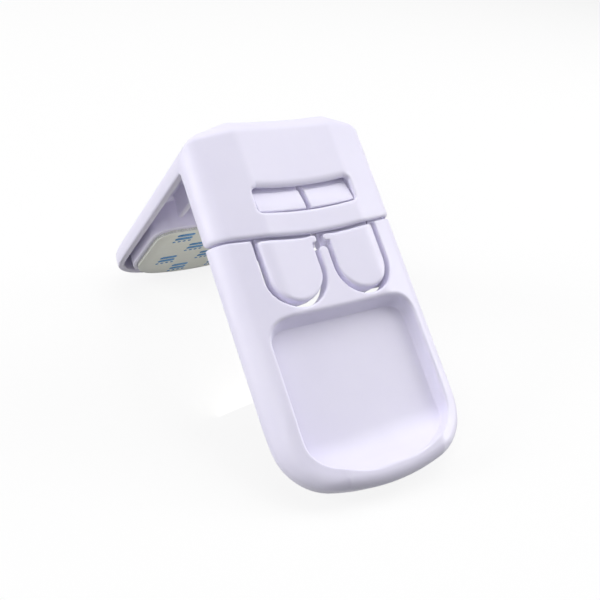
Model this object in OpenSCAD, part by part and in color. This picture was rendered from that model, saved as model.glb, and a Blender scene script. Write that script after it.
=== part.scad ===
// Right-angle cabinet safety lock in two halves.
// A corner bracket goes on the door or drawer front and a flat body on the cabinet side.
// Two press levers in the body hook into the bracket's window and hold the halves together.
// Every piece is drawn in the front plate's own frame and then stood up like a tent:
// x runs across, y runs down the front plate from the apex, z points out of the front plate.

/* [Plates] */
// Width of both halves
lock_w = 44.8; // [40:0.2:50]
// Depth of the front plates, from the panel to the rim
front_depth = 7.2; // [6.9:0.1:7.6]
// Depth of the bracket's back plate, from the panel to the rim
back_depth = 8.2; // [7.6:0.1:9.5]
// Wall thickness of both shells
wall = 1.6; // [1.4:0.05:1.7]
// Distance from the panel between the two sloping facets to the plate's sides
panel_side = 10.9; // [10.4:0.1:11.4]
// Fall of the facets beside the panel, in degrees
facet_angle = 15.5; // [14:0.5:17]
// Radius of the round shoulders along both sides
shoulder_r = 6; // [5.7:0.1:6.3]
// Depth of the shallow hollow across the panel
panel_dip = 0.35; // [0.2:0.05:0.4]
// Radius of the apex, where the bracket's two plates meet
apex_r = 4; // [3:0.1:5]

/* [Lengths] */
// Length of the bracket's front plate, from the apex to the parting line
bracket_len = 27; // [26:0.25:30]
// Length of the body, from the parting line to its round end
body_len = 50.7; // [49:0.1:56]
// Length of the bracket's back plate
back_len = 69.5; // [67:0.5:78]
// Gap along the parting line between the two halves
part_gap = 0.35; // [0.3:0.05:0.5]
// How far the body's panel lies below the bracket's panel
body_drop = 0.4; // [0.2:0.05:0.45]
// Radius of the bow of the parting line and of the window's edges
bow_r = 110; // [95:5:200]

/* [Ends] */
// Radius of the wide arc at the round ends
end_r = 46; // [40:1:60]
// Radius of the corners beside that arc
end_corner_r = 13; // [11:0.5:14]
// Radius of the wide arc at the back plate's round end
back_end_r = 46; // [40:1:60]
// Radius of the corners beside the back plate's arc
back_corner_r = 13; // [11:0.5:14]
// Rounding of the ends' outer edge
end_fillet = 2.6; // [1.5:0.1:3]

/* [Window] */
// Distance from the window in the bracket to the plate's sides
window_side = 10.6; // [10.3:0.1:11]
// Distance from the apex to the window, on the middle line
window_top = 16.7; // [16:0.1:17.5]
// Height of the window
window_h = 5.2; // [4.8:0.1:5.4]

/* [Levers] */
// Distance from a press button to the plate's side
button_side = 8.55; // [8.3:0.05:9]
// Length of the button that shows below the parting line
button_len = 13.4; // [12.5:0.1:14]
// Slot between a button and the shell round it
slot_gap = 1.1; // [0.8:0.05:1.2]
// Width of the shell's finger between the two buttons
finger_w = 2.1; // [1.8:0.1:2.4]
// Distance from the parting line to the tip of that finger
finger_tip = 2.95; // [2.6:0.05:3.3]
// Thickness of the buttons
button_t = 2.6; // [2.2:0.1:2.8]
// How far the buttons lie below the body's panel
button_drop = 0; // [0:0.05:0.3]
// Thickness of the necks that run under the bracket
neck_t = 1.4; // [1.2:0.1:1.5]
// Distance from the parting line to the levers' pivots
pivot_len = 11; // [10.5:0.1:11.4]
// Radius of the levers' pivot pins
pivot_r = 0.85; // [0.75:0.05:0.9]
// Clearance round the pivot pins
pivot_clear = 0.06; // [0.05:0.01:0.1]
// Length of the return leaf on each lever's arm
leaf_len = 6; // [5:0.25:6.5]
// Thickness of the return leaf
leaf_t = 0.6; // [0.5:0.05:0.7]

/* [Dishes] */
// Distance from the dish to the body's sides
dish_side = 4.6; // [4.4:0.1:5.4]
// How far the dish's side walls lean in down to its flat floor
dish_lean = 1.8; // [1.4:0.1:3]
// Depth of the body's dish below its panel
dish_depth = 4.6; // [3.6:0.05:4.8]
// Distance from the parting line to the dish
dish_start = 15.5; // [15.2:0.1:17]
// Distance from the dish to the body's round end
dish_end_rim = 3.1; // [2.8:0.1:5]
// Length of the ramp at the dish's lower end
dish_ramp = 5.5; // [4.5:0.25:11]
// Thickness of the dish's walls
dish_wall = 1.2; // [1:0.05:1.25]
// Radius of the dish's upper corners
dish_corner_r = 4.5; // [3:0.25:5]

/* [Pads] */
// Thickness of the bracket's foam pad
pad_t = 0.6; // [0.4:0.05:1.5]
// Thickness of the body's foam pad
body_pad_t = 1.2; // [1.1:0.05:2]
// Thickness of the release liners
liner_t = 0.15; // [0.1:0.05:0.25]
// Distance from the bracket's front panel to its raised pad bed
bed_start = 33.8; // [31:0.2:38]
// Height of the bracket's pad bed above the rim
bed_rise = 1.4; // [0.6:0.1:2]
// Distance from the bracket's raised pad bed to the plate's sides
bed_side = 3.1; // [2.9:0.1:4]
// Margin between a pad and the edge of its bed
pad_margin = 1; // [0.7:0.1:1.6]

/* [Ribs] */
// Distance from the two ribs inside the bracket to the plate's sides
rib_side = 9.2; // [7.5:0.1:10.4]
// Thickness of those ribs
rib_t = 1.4; // [1.1:0.1:1.6]
// Depth of the ribs below the back plate's rim
rib_drop = 0.6; // [0.4:0.1:1.5]

/* [Hidden] */
$fn = 96;
// Overrun of cutting shapes past the faces that they cut
overrun = 1;
// Reach of shapes that stand for an unbounded half space
reach = 400;
shell_white = [0.91, 0.9, 0.96];
lever_white = [0.89, 0.88, 0.95];
foam_white = [0.86, 0.87, 0.84];
liner_grey = [0.73, 0.75, 0.71];

half_w = lock_w / 2;
panel_x = half_w - panel_side;
// Centre of the shoulder's circle, tangent to the facet and to the side
shoulder_x = half_w - shoulder_r;
shoulder_z = -(shoulder_r + (shoulder_x - panel_x) * sin(facet_angle)) / cos(facet_angle);
// Steps along the shoulder and across the hollow of the panel
shoulder_steps = 10;
dip_steps = 8;
// Steps round an outline's corners and along its end
corner_steps = 10;
end_steps = 16;
// The body starts one gap past the parting line
part_y = bracket_len;
total_len = bracket_len + part_gap + body_len;
body_rim = front_depth - body_drop;
bow_y = part_y - bow_r;

// Window's width, its lower edge on the middle line, and the hook's catch face under it
window_w = 2 * (half_w - window_side);
window_low = window_top + window_h;
catch_gap = 0.25;
hook_side_gap = 0.5;
hook_split = 1.1;
hook_top = 0.7;
hook_crest = 1;
hook_clear = 0.35;
hook_under = 2;

// Buttons: width and middle of each, the lowest straight point and the faces in z
button_w = half_w - button_side - finger_w / 2 - slot_gap;
button_r = button_w / 2;
slot_r = button_r + slot_gap;
slot_deep = body_drop + panel_dip + wall + overrun;
button_x = finger_w / 2 + slot_r;
button_y = part_y + button_len - button_r;
cap_top = body_drop + button_drop;
cap_low = cap_top + button_t;
cap_split = 1.7;
cap_inner_x = cap_split / 2;
cap_shoulder = 2;
cap_relief = 0.2;
neck_clear = 0.55;
neck_top = wall + panel_dip + neck_clear;
neck_low = neck_top + neck_t;
neck_split = 2;
neck_side = 2.3;
neck_in = neck_split / 2;
neck_out = button_x + button_r - neck_side;
step_start = 0.5;
step_end = 2.6;
// The hook's ramp passes under the window's upper edge, and its keel reaches below the neck
hook_keel = 0.7;
hook_tip = window_top - hook_under;
ramp_deep = wall + panel_dip + hook_clear;
ramp_slope = (ramp_deep - hook_top) / (window_h - hook_crest);
tip_deep = ramp_deep + hook_under * ramp_slope;
hook_base = neck_low + hook_keel;

// Dish in the body
dish_x = half_w - dish_side;
dish_floor_x = dish_x - dish_lean;

// Arms under the shell, with the pivots at their outer ends
arm_rim = 0.5;
arm_t = 1.2;
arm_w = 3.5;
arm_start = 9;
arm_end = 12.6;
arm_side = 2;
arm_low = front_depth - arm_rim;
arm_top = arm_low - arm_t;
arm_in = neck_out - arm_w;
arm_out = shoulder_x + arm_side;
pivot_y = part_y + pivot_len;
pivot_floor = 0.65;
pivot_z = -(front_depth - pivot_floor - pivot_clear - pivot_r);
pivot_root = 1.1;
pivot_in = arm_out - pivot_root;
// The pins end inside the shell's round shoulder, under a skin that stays whole
pivot_skin = 0.8;
pivot_high = pivot_z + pivot_r + pivot_clear + body_drop;
pivot_end = shoulder_x + sqrt(pow(shoulder_r, 2) - pow(pivot_high - shoulder_z, 2)) - pivot_skin;
lug_gap = 0.3;
lug_in = arm_out + lug_gap;
lug_half = 2.2;

// Guide tongues of the body inside the bracket, and the shelves behind them for the leaves
guide_w = 4;
guide_rim = 0.4;
guide_past = 2.4;
guide_len = 7;
guide_post = 2;
guide_t = 2.05;
shelf_len = 3.9;
shelf_t = 1.15;
guide_out = shoulder_x + guide_past;
guide_in = guide_out - guide_w;
guide_low = front_depth - guide_rim;
guide_top = guide_low - guide_t;
shelf_top = guide_low - shelf_t;

// Return leaves, from the arms to just above the shelves
leaf_w = 2;
leaf_side = 0.5;
leaf_step = 0.3;
leaf_gap = 0.23;
leaf_flat = 1.6;
leaf_in = guide_in + leaf_side;
leaf_root = arm_top + leaf_step;
leaf_tip = shelf_top - leaf_gap - leaf_t;

// Places of the dish along the body
dish_y = part_y + dish_start;
dish_low_y = total_len - dish_end_rim;
dish_end_r = 30;
dish_end_corner = 5.5;
dish_top_slope = 1.6;
dish_lip = 0.25;
dish_back = body_drop + dish_depth + dish_wall;

// Dish, bed and ribs of the back plate
bed_x = half_w - bed_side;
rib_x = half_w - rib_side;
bed_corner_r = 5;
bed_end_rim = 3.9;
bed_end_r = 38;
bed_end_corner = 11;
back_dish_slope = 1;
back_dish_wall = 1.6;
back_dish_depth = back_depth + bed_rise - back_dish_wall;
bed_low_y = back_len - bed_end_rim;
bed_top = back_depth + bed_rise;

// Body pad on the dish's underside
body_pad_x = dish_floor_x + dish_wall - pad_margin;
body_pad_y = dish_y + dish_top_slope + pad_margin;
body_pad_low = dish_low_y - dish_ramp - pad_margin;
body_pad_r = 3;

// Tent pose: both round ends stand on the floor on their rims
lean = atan2(back_len - front_depth, total_len - back_depth);
lift = total_len * sin(lean) + front_depth * cos(lean);
front_y = (total_len - end_fillet) * cos(lean) - (body_drop + end_fillet) * sin(lean) + end_fillet;
rear_y = end_fillet * cos(lean) - (back_len - end_fillet) * sin(lean) - end_fillet;
middle_y = (front_y + rear_y) / 2;

// Stands the lock up, with its front towards -Y
module posed() {
    rotate([0, 0, 180])
        translate([0, -middle_y, lift])
            rotate([-lean, 0, 0])
                children();
}

// Turns a shape drawn like a front plate into the place of the back plate
module as_back() {
    rotate([-90, 0, 180])
        children();
}

// Edge of the panel, for a section set in by inset
function panel_edge(inset) = panel_x - inset * tan(facet_angle / 2);

// Shoulder from the side up to the facet, on the +x side
function shoulder_points(inset) = [
    for (i = [0 : shoulder_steps])
        let (turn = (90 - facet_angle) * i / shoulder_steps)
            [
                shoulder_x + (shoulder_r - inset) * cos(turn),
                shoulder_z + (shoulder_r - inset) * sin(turn)
            ]
];

// Shallow hollow across the panel, from +x to -x
function dip_points(inset) = [
    for (i = [0 : dip_steps])
        let (share = 1 - 2 * i / dip_steps)
            [share * panel_edge(inset), -inset - panel_dip * (1 - share * share)]
];

function mirrored(points) = [for (i = [len(points) - 1 : -1 : 0]) [-points[i].x, points[i].y]];

// Cross section of a plate: x across, y out of the plate
module plate_section(inset, depth) {
    right = concat([[half_w - inset, -reach]], shoulder_points(inset));
    intersection() {
        polygon(concat(right, dip_points(inset), mirrored(right)));
        translate([-half_w, -depth])
            square([lock_w, depth]);
    }
}

// Straight run of a plate between two distances from the apex
module plate_run(from, to, inset, depth) {
    translate([0, to, 0])
        rotate([90, 0, 0])
            linear_extrude(height = to - from)
                plate_section(inset, depth);
}

// Keeps what lies on this plate's side of the mitre between the two plates
module mitred() {
    intersection() {
        children();
        rotate([90, 0, 90])
            translate([0, 0, -reach])
                linear_extrude(height = 2 * reach)
                    polygon([
                        [apex_r, reach],
                        [apex_r, -apex_r],
                        [reach, -reach],
                        [2 * reach, reach]
                    ]);
    }
}

// Quarter turn of the section round the apex
module apex_turn(inset) {
    translate([0, apex_r, -apex_r])
        rotate([0, 90, 0])
            rotate([0, 0, 180])
                rotate_extrude(angle = 90)
                    intersection() {
                        translate([apex_r, 0])
                            rotate(-90)
                                plate_section(inset, apex_r);
                        translate([0, -reach])
                            square([reach, 2 * reach]);
                    }
}

// Height of the corner circles of a round end
function corner_y(len, half, arc_r, round_r) =
    len - arc_r + sqrt(pow(arc_r - round_r, 2) - pow(half - round_r, 2));

// Points along an arc, its two ends included unless they are skipped
function arc_points(mid, r, from, to, steps, skip = 0) = [
    for (i = [skip : steps - skip])
        let (turn = from + (to - from) * i / steps)
            mid + r * [cos(turn), sin(turn)]
];

// Lower outline of a plate with an arc end and round corners, from +x to -x
function end_points(len, half, arc_r, round_r) =
    let (
        low = corner_y(len, half, arc_r, round_r),
        lean_out = atan2(low - len + arc_r, half - round_r)
    )
    concat(
        arc_points([half - round_r, low], round_r, 0, lean_out, corner_steps),
        arc_points([0, len - arc_r], arc_r, lean_out, 180 - lean_out, end_steps, 1),
        arc_points([round_r - half, low], round_r, 180 - lean_out, 180, corner_steps)
    );

// Outline with an arc end and round corners, from start to len
module end_plan(start, len, half, arc_r, round_r) {
    polygon(concat(
        end_points(len, half, arc_r, round_r),
        [[-half, start], [half, start]]
    ));
}

// Outline like end_plan, with the two upper corners rounded too
module pad_plan(start, len, half, top_r, arc_r, round_r) {
    polygon(concat(
        end_points(len, half, arc_r, round_r),
        arc_points([top_r - half, start + top_r], top_r, 180, 270, corner_steps),
        arc_points([half - top_r, start + top_r], top_r, 270, 360, corner_steps)
    ));
}

// Disc with a rounded upper edge, its top at z = 0
module rounded_disc(r, depth) {
    rotate_extrude($fn = 240)
        union() {
            translate([0, -depth])
                square([r - end_fillet, depth]);
            translate([0, -depth])
                square([r, depth - end_fillet]);
            translate([r - end_fillet, -end_fillet])
                circle(r = end_fillet, $fn = 64);
        }
}

// Room that a plate with a round, soft-edged end fills
module end_form(len, depth, arc_r, round_r) {
    low = corner_y(len, half_w, arc_r, round_r);
    across = half_w - round_r;
    union() {
        translate([-half_w, -overrun, -depth])
            cube([lock_w, low + overrun, depth]);
        for (side = [-1, 1])
            translate([side * across, low, 0])
                rounded_disc(round_r, depth);
        intersection() {
            translate([0, len - arc_r, 0])
                rounded_disc(arc_r, depth);
            translate([0, 0, -depth])
                linear_extrude(height = depth)
                    polygon([
                        [0, 0],
                        [-across, low],
                        [-2 * across, 2 * low - len + arc_r],
                        [2 * across, 2 * low - len + arc_r],
                        [across, low]
                    ]);
        }
    }
}

// Dish with sloping walls, open at the top; its side walls end on the facets
module dish(start, len, half, floor_half, depth, top_slope, ramp, top_r, arc_r, round_r) {
    rim_deep = (half - panel_x) * tan(facet_angle) + dish_lip;
    side_run = (half - floor_half) / (depth - rim_deep);
    top_half = floor_half + (depth + overrun) * side_run;
    top_y = start - overrun * top_slope / depth;
    low_y = len + overrun * ramp / depth;
    intersection() {
        translate([0, 0, -depth])
            linear_extrude(height = depth + overrun)
                pad_plan(start, len, half, top_r, arc_r, round_r);
        translate([0, reach, 0])
            rotate([90, 0, 0])
                linear_extrude(height = 2 * reach)
                    polygon([
                        [-floor_half, -depth],
                        [floor_half, -depth],
                        [top_half, overrun],
                        [-top_half, overrun]
                    ]);
        rotate([90, 0, 90])
            translate([0, 0, -reach])
                linear_extrude(height = 2 * reach)
                    polygon([
                        [top_y, overrun],
                        [start + top_slope, -depth],
                        [len - ramp, -depth],
                        [low_y, overrun]
                    ]);
    }
}

// Round column inside one of the bowed edges, which share one centre
module bow_disc(mid_y) {
    translate([0, bow_y, -reach])
        cylinder(r = mid_y - bow_y, h = 2 * reach, $fn = 720);
}

// The window's room, between two bowed edges
module window_room() {
    intersection() {
        difference() {
            bow_disc(window_low);
            bow_disc(window_top);
        }
        translate([-window_w / 2, 0, -front_depth])
            cube([window_w, part_y, front_depth + overrun]);
    }
}

// Rib along the back plate, from the front plate to the pad bed
module bracket_rib(side) {
    translate([side * rib_x - rib_t / 2, wall, -bed_start - overrun])
        cube([rib_t, back_depth - rib_drop - wall, bed_start + overrun - wall]);
}

module bracket_outer() {
    intersection() {
        union() {
            apex_turn(0);
            mitred()
                plate_run(0, part_y + overrun, 0, front_depth);
        }
        bow_disc(part_y);
    }
    as_back()
        intersection() {
            mitred()
                plate_run(0, back_len + overrun, 0, back_depth);
            end_form(back_len, back_depth, back_end_r, back_corner_r);
        }
}

module bracket_inner() {
    apex_turn(wall);
    mitred()
        plate_run(0, part_y + overrun, wall, front_depth + overrun);
    as_back()
        intersection() {
            mitred()
                plate_run(0, back_len, wall, back_depth + overrun);
            translate([0, 0, -back_depth - overrun])
                linear_extrude(height = back_depth + 2 * overrun)
                    end_plan(
                        0, back_len - wall, half_w - wall,
                        back_end_r - wall, back_corner_r - wall
                    );
        }
}

// Raised bed for the pad, inside the back plate
module bracket_bed() {
    as_back()
        translate([0, 0, -bed_top])
            linear_extrude(height = bed_top - wall)
                pad_plan(bed_start, bed_low_y, bed_x, bed_corner_r, bed_end_r, bed_end_corner);
}

module back_dish() {
    as_back()
        dish(
            bed_start + back_dish_wall, bed_low_y - back_dish_wall,
            bed_x - back_dish_wall, bed_x - back_dish_wall - back_dish_slope,
            back_dish_depth, back_dish_slope, back_dish_slope,
            bed_corner_r - back_dish_wall, bed_end_r - back_dish_wall,
            bed_end_corner - back_dish_wall
        );
}

module corner_bracket() {
    color(shell_white)
        posed()
            difference() {
                union() {
                    difference() {
                        bracket_outer();
                        bracket_inner();
                    }
                    bracket_bed();
                    intersection() {
                        bracket_outer();
                        union() {
                            bracket_rib(-1);
                            bracket_rib(1);
                        }
                    }
                }
                back_dish();
                window_room();
            }
}

// Layer on the bracket's bed, between two heights above it
module bracket_layer(low, high) {
    as_back()
        translate([0, 0, -bed_top - high])
            linear_extrude(height = high - low)
                pad_plan(
                    bed_start + pad_margin, bed_low_y - pad_margin, bed_x - pad_margin,
                    bed_corner_r - pad_margin, bed_end_r - pad_margin, bed_end_corner - pad_margin
                );
}

module bracket_foam_pad() {
    color(foam_white)
        posed()
            bracket_layer(0, pad_t);
}

module bracket_release_liner() {
    color(liner_grey)
        posed()
            bracket_layer(pad_t, pad_t + liner_t);
}

// The body's outer form, lowered a little against the bracket
module body_outer() {
    difference() {
        translate([0, 0, -body_drop])
            intersection() {
                plate_run(part_y - bow_r, total_len + overrun, 0, body_rim);
                end_form(total_len, body_rim, end_r, end_corner_r);
            }
        bow_disc(part_y + part_gap);
    }
}

module body_inner() {
    translate([0, 0, -body_drop])
        intersection() {
            plate_run(0, total_len, wall, body_rim + overrun);
            translate([0, 0, -body_rim - overrun])
                linear_extrude(height = body_rim + 2 * overrun)
                    end_plan(
                        0, total_len - wall, half_w - wall,
                        end_r - wall, end_corner_r - wall
                    );
        }
}

// The body's dish, or its outer side when grown by its wall
module body_dish(grow) {
    translate([0, 0, -body_drop])
        dish(
            dish_y - grow, dish_low_y + grow, dish_x + grow, dish_floor_x + grow,
            dish_depth + grow, dish_top_slope, dish_ramp,
            dish_corner_r + grow, dish_end_r + grow, dish_end_corner + grow
        );
}

// Outline of both buttons' openings, less the finger between them
module button_openings() {
    difference() {
        union() {
            translate([-button_x - slot_r, part_y - bow_r])
                square([2 * (button_x + slot_r), button_y - part_y + bow_r]);
            for (side = [-1, 1])
                translate([side * button_x, button_y])
                    circle(r = slot_r);
        }
        translate([-finger_w / 2, part_y + finger_tip + finger_w / 2])
            square([finger_w, button_len]);
        translate([0, part_y + finger_tip + finger_w / 2])
            circle(r = finger_w / 2);
    }
}

// Lug on the shell's side that holds one pivot pin
module pivot_lug(side) {
    translate([side > 0 ? lug_in : -half_w, pivot_y - lug_half, -front_depth])
        cube([half_w - lug_in, 2 * lug_half, front_depth]);
}

module pivot_bore(side) {
    translate([side * (pivot_in - pivot_clear), pivot_y, pivot_z])
        rotate([0, side * 90, 0])
            cylinder(r = pivot_r + pivot_clear, h = pivot_end - pivot_in + 2 * pivot_clear);
}

// Tongue that keeps the bracket in line as it slides on, its post and the leaf's shelf
module guide_tongue(side) {
    low_x = side > 0 ? guide_in : -guide_out;
    translate([low_x, part_y - guide_len, -guide_low])
        cube([guide_w, guide_len + guide_post, guide_t]);
    translate([low_x, part_y + part_gap, -guide_low])
        cube([guide_w, shelf_len, shelf_t]);
    intersection() {
        body_outer();
        translate([low_x, part_y - guide_len, -guide_low])
            cube([guide_w, guide_len + guide_post, guide_low]);
    }
}

module body_shell() {
    color(shell_white)
        posed()
            difference() {
                union() {
                    difference() {
                        body_outer();
                        body_inner();
                    }
                    intersection() {
                        body_outer();
                        union() {
                            body_dish(dish_wall);
                            pivot_lug(-1);
                            pivot_lug(1);
                        }
                    }
                    guide_tongue(-1);
                    guide_tongue(1);
                }
                body_dish(0);
                pivot_bore(-1);
                pivot_bore(1);
                translate([0, 0, -slot_deep])
                    linear_extrude(height = slot_deep + overrun)
                        button_openings();
            }
}

// Layer under the dish's floor, between two heights
module body_layer(low, high) {
    translate([0, 0, -dish_back - high])
        linear_extrude(height = high - low)
            union() {
                translate([-body_pad_x, body_pad_y + body_pad_r])
                    square([2 * body_pad_x, body_pad_low - body_pad_y - 2 * body_pad_r]);
                translate([body_pad_r - body_pad_x, body_pad_y])
                    square([2 * (body_pad_x - body_pad_r), body_pad_low - body_pad_y]);
                for (side = [-1, 1], low_end = [0, 1])
                    translate([
                        side * (body_pad_x - body_pad_r),
                        low_end > 0 ? body_pad_low - body_pad_r : body_pad_y + body_pad_r
                    ])
                        circle(r = body_pad_r);
            }
}

module body_foam_pad() {
    color(foam_white)
        posed()
            body_layer(0, body_pad_t);
}

module body_release_liner() {
    color(liner_grey)
        posed()
            body_layer(body_pad_t, body_pad_t + liner_t);
}

// Outline of the button that shows, on the +x side
module button_plan() {
    union() {
        translate([button_x - button_r, part_y - bow_r])
            square([button_w, button_y - part_y + bow_r]);
        translate([button_x, button_y])
            circle(r = button_r);
        translate([cap_inner_x, part_y - bow_r])
            square([button_x - cap_inner_x, bow_r + cap_shoulder]);
    }
}

// Press lever on the +x side: button, neck, riser, arm and pivot pin in one moulding
module lever() {
    difference() {
        translate([0, 0, -cap_low])
            linear_extrude(height = button_t)
                button_plan();
        bow_disc(part_y + part_gap + cap_relief);
    }
    difference() {
        translate([neck_in, 0, -neck_low])
            cube([neck_out - neck_in, part_y + step_end, neck_t]);
        bow_disc(window_low - catch_gap);
    }
    translate([neck_in, part_y + step_start, -neck_low])
        cube([neck_out - neck_in, step_end - step_start, neck_low - cap_low + button_t / 2]);
    translate([0, 0, -arm_low])
        linear_extrude(height = arm_low - cap_low + button_t / 2)
            intersection() {
                button_plan();
                translate([arm_in, part_y + arm_start])
                    square([arm_w, arm_end - arm_start]);
            }
    translate([arm_in, part_y + arm_start, -arm_low])
        cube([arm_out - arm_in, arm_end - arm_start, arm_t]);
    translate([pivot_in, pivot_y, pivot_z])
        rotate([0, 90, 0])
            cylinder(r = pivot_r, h = pivot_end - pivot_in);
}

// Wedge hook on the +x side, with its catch face under the window's lower edge
module hook() {
    intersection() {
        difference() {
            bow_disc(window_low - catch_gap);
            bow_disc(hook_tip);
        }
        rotate([90, 0, 90])
            translate([0, 0, hook_split / 2])
                linear_extrude(height = (window_w - hook_split) / 2 - hook_side_gap)
                    polygon([
                        [hook_tip - overrun, -hook_base],
                        [window_low + overrun, -hook_base],
                        [window_low + overrun, -hook_top],
                        [window_low - hook_crest, -hook_top],
                        [hook_tip, -tip_deep],
                        [hook_tip - overrun, -tip_deep]
                    ]);
    }
}

// Springy finger of the arm, whose tip bears on the shell's shelf
module return_leaf() {
    rotate([90, 0, 90])
        translate([part_y + arm_start, 0, leaf_in])
            linear_extrude(height = leaf_w)
                polygon([
                    [0, -leaf_root],
                    [0, -leaf_root - leaf_t],
                    [leaf_flat - leaf_len, -leaf_tip - leaf_t],
                    [-leaf_len, -leaf_tip - leaf_t],
                    [-leaf_len, -leaf_tip],
                    [leaf_flat - leaf_len, -leaf_tip]
                ]);
}

// Seen from the front, the left side lies at +x before the lock is stood up
module left_lever() {
    color(lever_white)
        posed()
            lever();
}

module left_hook() {
    color(lever_white)
        posed()
            hook();
}

module left_return_leaf() {
    color(lever_white)
        posed()
            return_leaf();
}

module right_lever() {
    color(lever_white)
        posed()
            mirror([1, 0, 0])
                lever();
}

module right_hook() {
    color(lever_white)
        posed()
            mirror([1, 0, 0])
                hook();
}

module right_return_leaf() {
    color(lever_white)
        posed()
            mirror([1, 0, 0])
                return_leaf();
}

corner_bracket();
bracket_foam_pad();
bracket_release_liner();
body_shell();
body_foam_pad();
body_release_liner();
left_lever();
left_hook();
left_return_leaf();
right_lever();
right_hook();
right_return_leaf();
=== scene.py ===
"""Dress of the right-angle cabinet safety lock: moulded shells, press levers, foam pads and liners."""

import logging
import math
from dataclasses import dataclass, field
from enum import Enum
from typing import Callable, Sequence

import bpy
import numpy as np
from mathutils import Matrix, Vector


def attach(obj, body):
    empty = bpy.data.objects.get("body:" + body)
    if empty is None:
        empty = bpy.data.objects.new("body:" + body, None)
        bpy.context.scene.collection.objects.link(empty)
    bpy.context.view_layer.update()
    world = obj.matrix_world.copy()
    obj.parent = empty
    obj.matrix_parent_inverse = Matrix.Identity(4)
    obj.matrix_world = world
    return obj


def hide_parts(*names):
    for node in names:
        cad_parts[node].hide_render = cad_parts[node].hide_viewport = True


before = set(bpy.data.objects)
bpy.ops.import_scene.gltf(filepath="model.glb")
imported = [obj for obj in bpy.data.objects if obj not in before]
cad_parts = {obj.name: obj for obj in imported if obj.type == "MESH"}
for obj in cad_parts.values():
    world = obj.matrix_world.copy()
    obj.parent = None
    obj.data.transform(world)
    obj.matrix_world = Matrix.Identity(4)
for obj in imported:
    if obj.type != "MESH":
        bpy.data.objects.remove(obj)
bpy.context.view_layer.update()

LOG = logging.getLogger("lock")
Piece = bpy.types.Object
Material = bpy.types.Material
Socket = bpy.types.NodeSocket
Array = np.ndarray
Field = Callable[[Array, Array, Array], Array]
Colour = tuple[float, float, float]
Point = tuple[float, float, float]
Span = tuple[float, float]
Grid = tuple[Point, Point, float]
MM = 0.001
TINY = 1e-9


# Distance fields, in millimetres in the front plate's frame. A grid is the lowest and the highest corner of
# a sampled box, and the distance between its samples


def soft_max(a: Array, b: Array, blend: float | Array) -> Array:
    """Intersects two fields with a soft edge.

    Args:
        a: First signed distance.
        b: Second signed distance.
        blend: Width of the blend between them.

    Returns:
        The signed distance of what lies inside both.
    """
    share = np.maximum(blend - np.abs(a - b), 0.0) / blend
    return np.maximum(a, b) + share * share * blend / 4


def soft_min(a: Array, b: Array, blend: float) -> Array:
    """Joins two fields with a soft inner corner.

    Args:
        a: First signed distance.
        b: Second signed distance.
        blend: Width of the blend between them.

    Returns:
        The signed distance of what lies inside either.
    """
    return -soft_max(-a, -b, blend)


def round_max(a: Array, b: Array, radius: float) -> Array:
    """Intersects two square fields with a circular edge.

    Args:
        a: First signed distance.
        b: Second signed distance, square to the first.
        radius: Radius of the edge.

    Returns:
        The signed distance of what lies inside both.
    """
    corner = np.hypot(np.maximum(a + radius, 0.0), np.maximum(b + radius, 0.0))
    return np.minimum(np.maximum(a, b), -radius) + corner


def slab(value: Array, span: Span) -> Array:
    """Signed distance of the room between two parallel planes."""
    return np.abs(value - (span[0] + span[1]) / 2) - (span[1] - span[0]) / 2


def block(u: Array, y: Array, z: Array, spans: Sequence[Span], edge: float) -> Array:
    """Signed distance of a block with soft edges.

    Args:
        u: Points across.
        y: Points along.
        z: Points outwards.
        spans: Reach of the block across, along and outwards.
        edge: Width of the soft edges.

    Returns:
        The block's signed distance.
    """
    plan = soft_max(slab(u, spans[0]), slab(y, spans[1]), edge)
    return soft_max(plan, slab(z, spans[2]), edge)


@dataclass(frozen=True)
class LockSizes:
    """Sizes that several pieces share, in millimetres in the front plate's frame.

    u runs to the viewer's right, y down the front plate from the apex and z out of the front plate.
    """

    half: float = 22.4
    panel: float = 11.5
    facet: float = math.radians(15.5)
    shoulder: float = 6.0
    dip: float = 0.35
    wall: float = 1.6
    front_len: float = 78.05
    back_len: float = 69.5
    front_depth: float = 7.2
    back_depth: float = 8.2
    end_arc: float = 46.0
    end_corner: float = 13.0
    end_fillet: float = 2.6
    drop: float = 0.4
    part_y: float = 27.0
    part_gap: float = 0.35
    bow: float = 110.0
    window_half: float = 11.8
    window_y: Span = (16.7, 21.9)
    button_x: float = 8.0
    button_y: float = 34.55
    button_r: float = 5.85
    slot_gap: float = 1.1
    pivot_y: float = 38.0
    pivot_z: float = -5.64
    pin_r: float = 0.85
    pin_clear: float = 0.06
    pin_u: Span = (17.3, 20.64)
    rim_edge: float = 0.5

    def bowed(self, u: Array, y: Array, middle: float) -> Array:
        """Signed distance of the room above a bowed line.

        Args:
            u: Points across.
            y: Points along the front plate.
            middle: Where the line crosses the middle of the plate.

        Returns:
            Distance to the line, negative towards the apex.
        """
        return np.hypot(u, y - self.part_y + self.bow) - self.bow - middle + self.part_y


SIZES = LockSizes()


@dataclass(frozen=True)
class EndPlan:
    """Outline with straight sides, two corners and a wide arc at its end."""

    length: float
    half: float
    arc: float
    corner: float

    def low(self) -> float:
        """Where the corners' circles have their middles, along the plate."""
        across = self.half - self.corner
        return self.length - self.arc + math.sqrt((self.arc - self.corner) ** 2 - across ** 2)

    def distance(self, u: Array, along: Array) -> Array:
        """Signed distance of the outline.

        Args:
            u: Points across.
            along: Points along the plate.

        Returns:
            Distance to the outline, negative inside.
        """
        a = np.abs(u)
        mid = self.length - self.arc
        across, low = self.half - self.corner, self.low()
        straight = np.maximum(a - self.half, np.hypot(a, along - mid) - self.arc)
        turn = np.hypot(a - across, along - low) - self.corner
        outer = (a - across) * (low - mid) - (along - low) * across > 0
        return np.where(outer & (along > low), turn, straight)


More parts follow.
